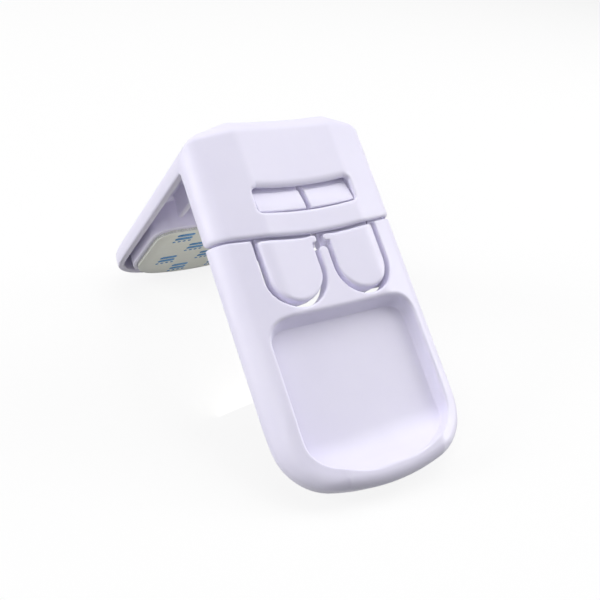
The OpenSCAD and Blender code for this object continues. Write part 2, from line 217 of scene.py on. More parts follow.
@dataclass(frozen=True)
class PadPlan:
    """Outline of a pad or dish: a straight start with round corners and an arc at the end."""

    start: float
    start_corner: float
    end: EndPlan

    def distance(self, u: Array, along: Array) -> Array:
        """Signed distance of the outline, negative inside."""
        return round_max(self.end.distance(u, along), self.start - along, self.start_corner)

    def outline(self, inset: float, steps: int = 14) -> list[tuple[float, float]]:
        """Points round the outline.

        Args:
            inset: How far the points lie inside the outline.
            steps: Steps in each corner.

        Returns:
            Points (u, along), once round.
        """
        top, corner = self.start_corner - inset, self.end.corner - inset
        arc, low = self.end.arc - inset, self.end.low()
        half, mid = self.end.half - inset, self.end.length - self.end.arc
        across = half - corner
        swing = math.atan2(low - mid, across)
        right = []
        for i in range(steps + 1):
            turn = math.pi / 2 * (i / steps - 1)
            start = self.start + inset + top
            right.append((half - top + top * math.cos(turn), start + top * math.sin(turn)))
        for i in range(steps + 1):
            turn = swing * i / steps
            right.append((across + corner * math.cos(turn), low + corner * math.sin(turn)))
        for i in range(1, steps):
            turn = swing + (math.pi / 2 - swing) * i / steps
            right.append((arc * math.cos(turn), mid + arc * math.sin(turn)))
        left = [(-x, y) for x, y in reversed(right)]
        return right + [(0.0, mid + arc)] + left


@dataclass(frozen=True)
class PlateSection:
    """Cross section of both plates: a shallow panel, two facets and round shoulders."""

    crease: float = 0.3
    corner_blend: float = 1.4
    corner_u: Span = (12.0, 17.0)
    corner_run: Span = (8.0, 18.0)
    inner_blend: float = 0.8
    least: float = 0.02

    def corner(self, u: Array, left: Array) -> Array:
        """Width of the soft edge at an end's corners.

        Args:
            u: Points across.
            left: Length that is left to the end.

        Returns:
            The blend, next to nothing away from the corners.
        """
        share = np.interp(np.abs(u), self.corner_u, (0.0, 1.0))
        near = np.interp(left, self.corner_run, (1.0, 0.0))
        return self.least + self.corner_blend * share * near

    def distance(self, u: Array, out: Array) -> Array:
        """Signed distance of the section.

        Args:
            u: Points across.
            out: Points outwards, 0 at the creases.

        Returns:
            Distance to the outside of the section, negative inside.
        """
        a = np.abs(u)
        rise, run = math.sin(SIZES.facet), math.cos(SIZES.facet)
        panel = out + SIZES.dip * (1.0 - (u / SIZES.panel) ** 2)
        sloped = out * run + (a - SIZES.panel) * rise
        mid_x = SIZES.half - SIZES.shoulder
        mid_z = -(SIZES.shoulder + (mid_x - SIZES.panel) * rise) / run
        du, dz = a - mid_x, out - mid_z
        turned = (du * run - dz * rise > 0) & (dz > 0)
        straight = np.maximum(sloped, a - SIZES.half)
        edge = np.where(turned, np.hypot(du, dz) - SIZES.shoulder, straight)
        return soft_max(panel, edge, self.crease)

    @staticmethod
    def above(u: Array, out: Array) -> Array:
        """Height above the dipped panel, or above the facets beside it."""
        sunk = SIZES.dip * np.maximum(1.0 - (u / SIZES.panel) ** 2, 0.0)
        return out + sunk + np.maximum(np.abs(u) - SIZES.panel, 0.0) * math.tan(SIZES.facet)

    def plate(self, end: EndPlan, u: Array, along: Array, out: Array) -> tuple[Array, Array, Array]:
        """Signed distances of a hollow plate with a filleted end.

        Args:
            end: Outline of the plate.
            u: Points across.
            along: Points along the plate.
            out: Points outwards, 0 at the creases.

        Returns:
            Distances to the section, to the plate's outside and to the hollow under it.
        """
        skin, edge = self.distance(u, out), end.distance(u, along)
        face = round_max(edge, self.above(u, out), SIZES.end_fillet)
        outer = soft_max(skin, face, self.corner(u, end.length - along))
        return skin, outer, soft_max(skin, edge, self.inner_blend) + SIZES.wall


SECTION = PlateSection()


@dataclass(frozen=True)
class DishForm:
    """Room of a dish: an outline, sloping walls, a flat floor and a ramp at the end."""

    plan: PadPlan
    floor_half: float
    depth: float
    rim_deep: float
    top_slope: float
    ramp: float
    floor_edge: float
    ramp_blend: float
    wall_blend: float = 4.0
    plan_blend: float = 0.6

    def distance(self, u: Array, along: Array, out: Array) -> Array:
        """Signed distance of the dish's room.

        Args:
            u: Points across.
            along: Points along the plate.
            out: Points outwards.

        Returns:
            Distance to the dish's walls, negative in the room.
        """
        run = (self.plan.end.half - self.floor_half) / (self.depth - self.rim_deep)
        side = (np.abs(u) - self.floor_half - (out + self.depth) * run) / math.hypot(1.0, run)
        rise = self.top_slope / self.depth
        top = (self.plan.start - out * rise - along) / math.hypot(1.0, rise)
        fall = self.ramp / self.depth
        ramp = (along - self.plan.end.length - out * fall) / math.hypot(1.0, fall)
        floor = soft_max(-(out + self.depth), ramp, self.ramp_blend)
        walls = soft_max(side, top, self.wall_blend)
        walls = soft_max(walls, self.plan.distance(u, along), self.plan_blend)
        return soft_max(floor, walls, self.floor_edge)


# The lock's pose and the meshes


@dataclass(frozen=True)
class TentPose:
    """Stands the plate frame up like a tent, on the rims of both round ends."""

    def matrix(self) -> Matrix:
        """Matrix from millimetres in the plate's frame to metres in the lock's frame."""
        s = SIZES
        lean = math.atan2(s.back_len - s.front_depth, s.front_len - s.back_depth)
        across, up = math.cos(lean), math.sin(lean)
        lift = s.front_len * up + s.front_depth * across
        round_end = s.end_fillet
        front = (s.front_len - round_end) * across - (s.drop + round_end) * up + round_end
        rear = round_end * across - (s.back_len - round_end) * up - round_end
        return Matrix((
            (MM, 0.0, 0.0, 0.0),
            (0.0, -across * MM, -up * MM, (front + rear) / 2 * MM),
            (0.0, -up * MM, across * MM, lift * MM),
            (0.0, 0.0, 0.0, 1.0),
        ))

    def place(self, points: Array) -> Array:
        """Moves plate points, in millimetres, to the lock's frame in metres."""
        m = np.array(self.matrix())
        return points @ m[:3, :3].T + m[:3, 3]

    def turn(self, normals: Array) -> Array:
        """Turns plate directions to the lock's frame."""
        return normals @ (np.array(self.matrix())[:3, :3] / MM).T


POSE = TentPose()


class Body(Enum):
    """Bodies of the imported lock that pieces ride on."""

    LOCK = "lock_body"
    BRACKET = "bracket"
    LEFT = "left_press_lever"
    RIGHT = "right_press_lever"


class Slot(Enum):
    """Material slots of the record."""

    SHELL = "shell"
    LEVER = "lever"
    FOAM = "foam"
    LINER = "liner"


class Side(Enum):
    """Side of a lever, seen from the front."""

    LEFT = "left"
    RIGHT = "right"


class Skin:
    """Closed mesh on the zero level of a distance field."""

    SLICE = 16
    SETTLE_ROUNDS = 3
    SETTLE_SHARE = 0.4
    SLOPE_REACH = 0.02
    SHADE_SHARE = 0.4
    LEAST_SLOPE = 0.25

    def __init__(self, shape: Field, low: Sequence[float], high: Sequence[float], step: float) -> None:
        """Samples a field and wraps its zero level.

        Args:
            shape: Signed distance of the piece.
            low: Lowest corner of the sampled box.
            high: Highest corner of the sampled box.
            step: Distance between the samples.
        """
        self.shape = shape
        self.step = step
        self.low = np.array(low, float)
        counts = np.ceil((np.array(high, float) - self.low) / step).astype(int) + 1
        self.points, self.quads = self._wrap(self._sample(counts))
        for _ in range(self.SETTLE_ROUNDS):
            self._settle()

    def _sample(self, counts: Array) -> Array:
        """Values of the field on the grid, made slice by slice."""
        axes = [self.low[i] + self.step * np.arange(counts[i]) for i in range(3)]
        values = np.empty(tuple(counts), np.float64)
        for i in range(0, counts[0], self.SLICE):
            grid = np.meshgrid(axes[0][i:i + self.SLICE], axes[1], axes[2], indexing="ij")
            values[i:i + self.SLICE] = self.shape(*grid)
        return values

    def _wrap(self, values: Array) -> tuple[Array, Array]:
        """Points and quads of the zero level.

        Args:
            values: Field on the grid.

        Returns:
            Points in millimetres, and quads that face outwards.
        """
        inside = values < 0
        shape = np.array(values.shape)
        corners = np.array([(i, j, k) for i in (0, 1) for j in (0, 1) for k in (0, 1)])
        total = np.zeros(tuple(shape - 1), np.int8)
        for i, j, k in corners:
            total += inside[i:shape[0] - 1 + i, j:shape[1] - 1 + j, k:shape[2] - 1 + k]
        active = (total > 0) & (total < len(corners))
        cells = np.argwhere(active)
        index = np.full(active.shape, -1)
        index[active] = np.arange(len(cells))
        sums = np.zeros((len(cells), 3))
        hits = np.zeros(len(cells))
        edges = [(a, b) for a in corners for b in corners if np.sum(b - a) == 1 and np.all(b >= a)]
        for a, b in edges:
            start = values[tuple((cells + a).T)]
            stop = values[tuple((cells + b).T)]
            crossed = (start < 0) != (stop < 0)
            share = start[crossed] / (start[crossed] - stop[crossed])
            sums[crossed] += a + share[:, None] * (b - a)
            hits[crossed] += 1
        points = self.low + self.step * (cells + sums / hits[:, None])
        quads = [self._quads(inside, index, axis) for axis in range(3)]
        return points, np.concatenate(quads)

    @staticmethod
    def _quads(inside: Array, index: Array, axis: int) -> Array:
        """Quads across the grid edges of one direction.

        Args:
            inside: True where the grid point lies inside the piece.
            index: Number of each cell's point.
            axis: Direction of the grid edges.

        Returns:
            Point numbers, four for each quad.
        """
        shape = inside.shape
        b, c = (axis + 1) % 3, (axis + 2) % 3
        near = np.take(inside, range(shape[axis] - 1), axis)
        far = np.take(inside, range(1, shape[axis]), axis)
        at = np.argwhere(near != far)
        at = at[(at[:, b] > 0) & (at[:, c] > 0) & (at[:, b] < shape[b] - 1) & (at[:, c] < shape[c] - 1)]
        out = near[tuple(at.T)]
        step_b, step_c = np.eye(3, dtype=int)[b], np.eye(3, dtype=int)[c]
        around = (step_b + step_c, step_c, 0 * step_b, step_b)
        ring = np.stack([index[tuple((at - d).T)] for d in around], 1)
        return np.where(out[:, None], ring, ring[:, ::-1])

    def slope(self, reach: float) -> Array:
        """Gradient of the field at the points, by central differences over a reach."""
        result = np.empty_like(self.points)
        for i in range(3):
            ahead, behind = self.points.copy(), self.points.copy()
            ahead[:, i] += reach
            behind[:, i] -= reach
            result[:, i] = (self.shape(*ahead.T) - self.shape(*behind.T)) / (2 * reach)
        return result

    def _settle(self) -> None:
        """Moves the points a step towards the zero level."""
        slope = self.slope(self.SLOPE_REACH)
        size = np.maximum(np.sum(slope * slope, axis=1), self.LEAST_SLOPE)
        move = slope * (self.shape(*self.points.T) / size)[:, None]
        length = np.maximum(np.linalg.norm(move, axis=1, keepdims=True), TINY)
        self.points -= move * np.minimum(1.0, self.SETTLE_SHARE * self.step / length)

    def mesh(self, name: str, flip: bool = False) -> Piece:
        """Makes the object, with normals taken from the field.

        Args:
            name: Name of the piece.
            flip: True to mirror the piece across the lock's middle plane.

        Returns:
            The new object.
        """
        points, normals = self.points.copy(), self.slope(self.SHADE_SHARE * self.step)
        quads = self.quads if flip else self.quads[:, ::-1]
        if flip:
            points[:, 0] *= -1
            normals[:, 0] *= -1
        normals /= np.maximum(np.linalg.norm(normals, axis=1, keepdims=True), TINY)
        return make_piece(name, POSE.place(points), quads, POSE.turn(normals))


def make_piece(
    name: str, points: Array, faces: Sequence[Sequence[int]], normals: Array | None = None
) -> Piece:
    """Makes a smooth mesh object in the lock's frame.

    Args:
        name: Name of the piece.
        points: Points in metres.
        faces: Point numbers of each face.
        normals: One normal for each point, or None for Blender's own.

    Returns:
        The new object, linked to the scene.
    """
    mesh = bpy.data.meshes.new(name)
    mesh.from_pydata([tuple(p) for p in points], [], [tuple(int(i) for i in f) for f in faces])
    mesh.shade_smooth()
    mesh.validate()
    if normals is not None:
        mesh.normals_split_custom_set_from_vertices([tuple(n) for n in normals])
    piece = bpy.data.objects.new(name, mesh)
    bpy.context.scene.collection.objects.link(piece)
    return piece


def settle_piece(
    piece: Piece, body: Body, slot: Slot, material: Material, *nodes: str
) -> None:
    """Dresses a piece, lets it ride and hides the nodes that it stands for.

    Args:
        piece: The new object.
        body: Body that it moves with.
        slot: Not used.
        material: Its finish.
        nodes: Nodes that it replaces.
    """
    piece.data.materials.append(material)
    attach(piece, body.value)
    if nodes:
        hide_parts(*nodes)
    LOG.info("%s rides on %s, %d faces", piece.name, body.value, len(piece.data.polygons))


# Finishes. A noise's numbers are its cells per metre, its finer layers and their weight


class NodeBench:
    """Short way to lay out shader nodes."""

    NOISE_LOW = 0.3
    NOISE_HIGH = 0.7

    def __init__(self, name: str) -> None:
        """Opens an empty material of that name."""
        self.material = bpy.data.materials.new(name)
        self.material.use_nodes = True
        self.tree = self.material.node_tree
        self.tree.nodes.clear()
        self.output = self.tree.nodes.new("ShaderNodeOutputMaterial")

    def add(self, kind: str, **sockets: object) -> bpy.types.Node:
        """Adds a node.

        Args:
            kind: Blender's name of the node.
            sockets: Values of its inputs, with _ for a space.

        Returns:
            The new node.
        """
        node = self.tree.nodes.new(kind)
        for key, value in sockets.items():
            node.inputs[key.replace("_", " ")].default_value = value
        return node

    def link(self, start: Socket, stop: Socket) -> None:
        """Joins two sockets."""
        self.tree.links.new(start, stop)

    def finish(self, shader: bpy.types.Node) -> Material:
        """Sends a shader to the output and gives the material."""
        self.link(shader.outputs[0], self.output.inputs["Surface"])
        return self.material

    def place(self) -> Socket:
        """Coordinates fixed to the piece."""
        return self.tree.nodes.new("ShaderNodeTexCoord").outputs["Object"]

    def noise(
        self, scale: float, detail: float, roughness: float = 0.55, place: Socket | None = None
    ) -> Socket:
        """Noise fixed to the piece.

        Args:
            scale: Cells per metre.
            detail: Number of finer layers.
            roughness: Weight of the finer layers.
            place: Coordinates to read it at, or None for the piece's own.

        Returns:
            The noise's value.
        """
        node = self.add("ShaderNodeTexNoise", Scale=scale, Detail=detail, Roughness=roughness)
        self.link(place or self.place(), node.inputs["Vector"])
        return node.outputs["Fac"]

    def ramp(self, value: Socket, low: float, high: float) -> Socket:
        """Maps the middle of a noise onto a range.

        Args:
            value: Noise between 0 and 1.
            low: Result where the noise is low.
            high: Result where the noise is high.

        Returns:
            The mapped value.
        """
        node = self.add("ShaderNodeMapRange", From_Min=self.NOISE_LOW, From_Max=self.NOISE_HIGH)
        node.inputs["To Min"].default_value = low
        node.inputs["To Max"].default_value = high
        self.link(value, node.inputs["Value"])
        return node.outputs["Result"]

    def tint(self, value: Socket, low: Colour, high: Colour) -> Socket:
        """Colour between two tints.

        Args:
            value: Share of the second tint.
            low: First colour, linear.
            high: Second colour, linear.

        Returns:
            The mixed colour.
        """
        node = self.tree.nodes.new("ShaderNodeValToRGB")
        first, second = node.color_ramp.elements
        first.position, second.position = self.NOISE_LOW, self.NOISE_HIGH
        first.color, second.color = (*low, 1.0), (*high, 1.0)
        self.link(value, node.inputs["Fac"])
        return node.outputs["Color"]

    def bump(self, value: Socket, depth: float, strength: float) -> Socket:
        """Surface relief from a value.

        Args:
            value: Height between 0 and 1.
            depth: Height in metres.
            strength: Share of the relief that shows.

        Returns:
            The bent normal.
        """
        node = self.add("ShaderNodeBump", Strength=strength, Distance=depth)
        self.link(value, node.inputs["Height"])
        return node.outputs["Normal"]


@dataclass(frozen=True)
class PlasticFinish:
    """Satin moulded plastic with a fine spark-eroded grain."""

    name: str
    pale: Colour
    deep: Colour
    ior: float = 1.47
    rough: Span = (0.36, 0.46)
    drift: Span = (60.0, 3.0)
    mottle: Span = (420.0, 4.0)
    grain: Point = (9000.0, 2.0, 0.6)
    grain_depth: float = 0.00002
    grain_strength: float = 0.2
    glow: float = 0.12
    glow_reach: float = 0.0008
    glow_tint: Colour = (1.0, 0.95, 1.1)

    def material(self) -> Material:
        """Builds the plastic: slow tint drift, fine grain and a satin sheen."""
        bench = NodeBench(self.name)
        shader = bench.add("ShaderNodeBsdfPrincipled", IOR=self.ior, Subsurface_Weight=self.glow)
        shader.inputs["Subsurface Radius"].default_value = self.glow_tint
        shader.inputs["Subsurface Scale"].default_value = self.glow_reach
        colour = bench.tint(bench.noise(*self.drift), self.deep, self.pale)
        rough = bench.ramp(bench.noise(*self.mottle), *self.rough)
        relief = bench.bump(bench.noise(*self.grain), self.grain_depth, self.grain_strength)
        bench.link(colour, shader.inputs["Base Color"])
        bench.link(rough, shader.inputs["Roughness"])
        bench.link(relief, shader.inputs["Normal"])
        return bench.finish(shader)


@dataclass(frozen=True)
class FoamFinish:
    """Closed-cell foam with fine open pores at its cut edge."""

    name: str
    pale: Colour = (0.74, 0.75, 0.71)
    deep: Colour = (0.5, 0.51, 0.48)
    rough: float = 0.85
    pores: float = 5200.0
    pore_depth: float = 0.0001
    pore_strength: float = 0.6

    def material(self) -> Material:
        """Builds the foam: pores from cells, with a dull surface."""
        bench = NodeBench(self.name)
        shader = bench.add("ShaderNodeBsdfPrincipled", Roughness=self.rough)
        cells = bench.add("ShaderNodeTexVoronoi", Scale=self.pores)
        bench.link(bench.place(), cells.inputs["Vector"])
        edge = cells.outputs["Distance"]
        bench.link(bench.tint(edge, self.deep, self.pale), shader.inputs["Base Color"])
        bench.link(bench.bump(edge, self.pore_depth, self.pore_strength), shader.inputs["Normal"])
        return bench.finish(shader)


@dataclass(frozen=True)
class LinerFinish:
    """Waxed release paper with faint fibres."""

    name: str
    pale: Colour = (0.9, 0.92, 0.84)
    deep: Colour = (0.83, 0.85, 0.77)
    gloss: float = 0.45
    fibres: Point = (900.0, 5.0, 0.65)
    fibre_depth: float = 0.00003
    fibre_strength: float = 0.35
    stretch: Point = (1.0, 5.0, 5.0)
    mottle: Span = (300.0, 3.0)
    rough: Span = (0.34, 0.5)

    def material(self) -> Material:
        """Builds the paper: stretched fibres, mottled tint and a waxy gloss."""
        bench = NodeBench(self.name)
        shader = bench.add("ShaderNodeBsdfPrincipled", Specular_IOR_Level=self.gloss)
        drawn = bench.add("ShaderNodeMapping", Scale=self.stretch)
        bench.link(bench.place(), drawn.inputs["Vector"])
        grain = bench.noise(*self.fibres, drawn.outputs["Vector"])
        bench.link(bench.tint(grain, self.deep, self.pale), shader.inputs["Base Color"])
        bench.link(bench.ramp(bench.noise(*self.mottle), *self.rough), shader.inputs["Roughness"])
        bench.link(bench.bump(grain, self.fibre_depth, self.fibre_strength), shader.inputs["Normal"])
        return bench.finish(shader)


@dataclass(frozen=True)
class InkFinish:
    """Plain blue printing ink that the paper shows through a little."""

    name: str = "liner_ink"
    pale: Colour = (0.08, 0.31, 0.6)
    deep: Colour = (0.03, 0.21, 0.5)
    mottle: Span = (2600.0, 4.0)
    rough: float = 0.5

    def material(self) -> Material:
        """Builds the ink: a mottled blue."""
        bench = NodeBench(self.name)
        shader = bench.add("ShaderNodeBsdfPrincipled", Roughness=self.rough)
        colour = bench.tint(bench.noise(*self.mottle), self.deep, self.pale)
        bench.link(colour, shader.inputs["Base Color"])
        return bench.finish(shader)


SHELL_FINISH = PlasticFinish("shell_plastic", (0.84, 0.815, 0.97), (0.81, 0.785, 0.945))
LEVER_FINISH = PlasticFinish("lever_plastic", (0.835, 0.81, 0.965), (0.805, 0.78, 0.94))


# Sub-assemblies


@dataclass(frozen=True)
class LinerPrint:
    """Staggered groups of plain bars, each with a row of dots under it."""

    rows: tuple[float, ...] = (37.2, 44.4, 51.6, 58.8)
    pitch: float = 11.0
    columns: int = 5
    reach: float = 15.5
    bars: int = 2
    bar: Span = (4.6, 1.5)
    bar_gap: float = 2.1
    dot: float = 0.42
    dot_count: int = 4
    dot_pitch: float = 1.35
    dot_drop: float = 1.7
    steps: int = 24

    def _oval(self, u: float, along: float, straight: float, radius: float) -> list[Span]:
        """Outline of a bar with round ends, or of a dot when it has no straight part."""
        points = []
        for k in range(self.steps):
            turn = 2 * math.pi * (k + 0.5) / self.steps
            end = math.copysign(straight / 2, math.cos(turn))
            points.append((u + end + radius * math.cos(turn), along + radius * math.sin(turn)))
        return points

    def outlines(self) -> list[list[Span]]:
        """Outlines of every bar and dot, as points (u, along)."""
        result = []
        length, thick = self.bar
        for row, along in enumerate(self.rows):
            shift = self.pitch / 2 if row % 2 else 0.0
            for column in range(self.columns):
                mid = (column - self.columns // 2) * self.pitch + shift
                if abs(mid) > self.reach:
                    continue
                for level in range(self.bars):
                    place = along + level * self.bar_gap
                    result.append(self._oval(mid, place, length - thick, thick / 2))
                for dot in range(self.dot_count):
                    u = mid + (dot - (self.dot_count - 1) / 2) * self.dot_pitch
                    result.append(self._oval(u, along + self.bar_gap + self.dot_drop, 0.0, self.dot))
        return result


@dataclass
class PadStack:
    """A foam pad with its release liner, on a flat bed."""

    name: str
    body: Body
    plan: PadPlan
    base: float
    foam_t: float
    on_back: bool
    liner_t: float = 0.15
    waist: float = 0.12
    paper_edge: float = 0.04
    ink: Span = (0.002, 0.02)
    rings: tuple[float, ...] = (0.85, 0.6, 0.3)
    marks: LinerPrint | None = None
    pieces: list[Piece] = field(default_factory=list)

    def _point(self, u: float, along: float, height: float) -> Point:
        """Plate point at a height above the bed."""
        deep = self.base + height
        return (u, deep, -along) if self.on_back else (u, along, -deep)

    def _piece(self, name: str, points: list, faces: list) -> Piece:
        """Turns the faces outwards for this bed and makes the object."""
        turned = faces if self.on_back else [f[::-1] for f in faces]
        return make_piece(name, POSE.place(np.array(points)), turned)

    def _stack(self, name: str, layers: Sequence[Span]) -> Piece:
        """Closed slab through outlines at several heights.

        Args:
            name: Name of the piece.
            layers: Pairs of inset and height, from the bed outwards.

        Returns:
            The new object.
        """
        outlines = [self.plan.outline(inset) for inset, _ in layers]
        count = len(outlines[0])
        points = [self._point(u, a, high) for plan, (_, high) in zip(outlines, layers) for u, a in plan]
        faces: list[tuple[int, ...]] = []

        def bridge(first: int, second: int, outwards: bool) -> None:
            """Joins two rings of points with quads."""
            for i in range(count):
                j = (i + 1) % count
                quad = (first + i, first + j, second + j, second + i)
                faces.append(quad if outwards else quad[::-1])

        for ring in range(len(layers) - 1):
            bridge(ring * count, (ring + 1) * count, True)
        middle = (self.plan.start + self.plan.end.length) / 2
        for ring, outwards in ((0, False), (len(layers) - 1, True)):
            last, high = ring * count, layers[ring][1]
            for share in self.rings:
                first = len(points)
                for u, a in outlines[ring]:
                    points.append(self._point(u * share, middle + (a - middle) * share, high))
                bridge(last, first, outwards)
                last = first
            points.append(self._point(0.0, middle, high))
            for i in range(count):
                tri = (last + i, last + (i + 1) % count, len(points) - 1)
                faces.append(tri if outwards else tri[::-1])
        return self._piece(name, points, faces)

    def _print(self) -> Piece:
        """Plain marks, a hair above the liner."""
        points: list[Point] = []
        faces: list[tuple[int, ...]] = []
        face = self.foam_t + self.liner_t
        for outline in self.marks.outlines():
            first, count = len(points), len(outline)
            for level in self.ink:
                points += [self._point(u, a, face + level) for u, a in outline]
            low, high = range(first, first + count), range(first + count, first + 2 * count)
            faces += [tuple(high), tuple(reversed(low))]
            for k in range(count):
                j = (k + 1) % count
                faces.append((low[k], low[j], high[j], high[k]))
        return self._piece(f"{self.name}_liner_marks", points, faces)

    def build(self) -> None:
        """Makes the foam, the liner and the plain marks printed on it."""
        t, face = self.foam_t, self.foam_t + self.liner_t
        foam = [(0.0, 0.0), *((self.waist, t * k / 4) for k in (1, 2, 3)), (self.paper_edge, t)]
        edge = self.liner_t / 3
        paper = ((self.paper_edge, t), (0.0, t + edge), (0.0, face - edge), (self.paper_edge, face))
        self.pieces = [self._stack(f"{self.name}_foam", foam), self._stack(f"{self.name}_liner", paper)]
        if self.marks:
            self.pieces.append(self._print())

    def dress(self) -> None:
        """Gives each layer its finish and its place on the body."""
        foam, liner = self.pieces[:2]
        cells = FoamFinish(f"{self.name}_foam_cells").material()
        paper = LinerFinish(f"{self.name}_liner_paper").material()
        settle_piece(foam, self.body, Slot.FOAM, cells, f"{self.name}_foam_pad")
        settle_piece(liner, self.body, Slot.LINER, paper, f"{self.name}_release_liner")
        for extra in self.pieces[2:]:
            settle_piece(extra, self.body, Slot.LINER, InkFinish().material())


BRACKET_PAD = PadPlan(34.8, 4.0, EndPlan(64.6, 18.3, 37.0, 10.0))
BODY_PAD = PadPlan(45.1, 3.0, EndPlan(68.45, 16.2, 400.0, 3.0))


@dataclass
class Moulding:
    """A shell that is wrapped from its own distance field and rides on one body."""

    name: str
    body: Body
    node: str
    grid: Grid
    piece: Piece | None = None

    def shape(self, u: Array, y: Array, z: Array) -> Array:
        """Signed distance of the shell, which each shell gives itself."""
        raise NotImplementedError

    def build(self) -> None:
        """Wraps the shell's skin."""
        self.piece = Skin(self.shape, *self.grid).mesh(self.name)

    def dress(self) -> None:
        """Gives the shell its plastic."""
        settle_piece(self.piece, self.body, Slot.SHELL, SHELL_FINISH.material(), self.node)


@dataclass
class CornerBracket(Moulding):
    """The bracket: a front plate with the window and a back plate with the pad bed."""

    name: str = "bracket_moulding"
    body: Body = Body.BRACKET
    node: str = "corner_bracket"
    grid: Grid = ((-23.6, -1.2, -70.7), (23.6, 28.2, 1.2), 0.36)
    apex: float = 4.0
    end: EndPlan = EndPlan(SIZES.back_len, SIZES.half, SIZES.end_arc, SIZES.end_corner)
    bed: PadPlan = PadPlan(33.8, 5.0, EndPlan(65.6, 19.3, 38.0, 11.0))
    bed_top: float = 9.6
    dish_plan: PadPlan = PadPlan(35.4, 3.4, EndPlan(64.0, 17.7, 36.4, 9.4))
    dish_slope: float = 1.0
    dish_depth: float = 8.0
    dish_rim: float = 1.97
    dish_edge: float = 1.2
    dish_lip: float = 0.9
    rib_u: Span = (12.5, 13.9)
    rib_y: float = 7.6
    rib_end: float = 32.6
    rib_lean: float = 0.18
    edge: float = 0.5
    root: float = 0.5
    skin_left: float = 0.8
    window_corner: float = 0.8
    window_edge: float = 0.85
    window_brow: float = 0.9
    brow_y: Span = (17.4, 19.2)
    brow_u: Span = (10.6, 11.4)
    collar_u: Span = (11.8, 13.2)
    collar_y: Span = (14.0, 21.2)
    collar_z: Span = (-3.4, 1.0)
    part_edge: float = 0.9

    def window(self, u: Array, y: Array, z: Array) -> Array:
        """Signed distance of the window's room."""
        high = -SIZES.bowed(u, y, SIZES.window_y[0])
        low = SIZES.bowed(u, y, SIZES.window_y[1])
        room = round_max(np.abs(u) - SIZES.window_half, np.maximum(high, low), self.window_corner)
        return np.maximum(room, -(z + SIZES.front_depth))

    def ribs(self, u: Array, y: Array, z: Array) -> Array:
        """Signed distance of the two ribs between the front plate and the pad bed."""
        rib = soft_max(slab(np.abs(u), self.rib_u), y - self.rib_y, self.edge)
        end = -z - self.rib_end - (y - self.rib_y) * self.rib_lean
        return soft_max(rib, end, self.edge)

    def shape(self, u: Array, y: Array, z: Array) -> Array:
        """Signed distance of the bracket.

        Args:
            u: Points across.
            y: Points along the front plate.
            z: Points out of the front plate.

        Returns:
            Distance to the bracket's skin, negative inside.
        """
        out = round_max(z, -y, self.apex)
        skin, outer, inner = SECTION.plate(self.end, u, -z, out)
        shell = np.maximum(outer, -inner)
        rim = soft_min(-(z + SIZES.front_depth), y - SIZES.back_depth, SECTION.inner_blend)
        shell = soft_max(shell, rim, SIZES.rim_edge)
        shell = soft_min(shell, np.maximum(self.ribs(u, y, z), skin + self.skin_left), self.root)
        bed = soft_max(self.bed.distance(u, -z), y - self.bed_top, self.edge)
        shell = soft_min(shell, np.maximum(bed, outer + self.skin_left), self.root)
        dish = DishForm(
            self.dish_plan, self.dish_plan.end.half - self.dish_slope, self.dish_depth, self.dish_rim,
            self.dish_slope, self.dish_slope, self.dish_edge, self.dish_edge,
        )
        shell = soft_max(shell, -dish.distance(u, -z, out), self.dish_lip)
        shell = soft_max(shell, SIZES.bowed(u, y, SIZES.part_y), self.part_edge)
        collar = block(np.abs(u), y, z, (self.collar_u, self.collar_y, self.collar_z), self.edge)
        shell = np.minimum(shell, np.maximum(collar, skin + self.skin_left))
        share = np.interp(y, self.brow_y, (1.0, 0.0)) * np.interp(np.abs(u), self.brow_u, (1.0, 0.0))
        brow = self.window_edge + self.window_brow * share
        return soft_max(shell, -self.window(u, y, z), brow)


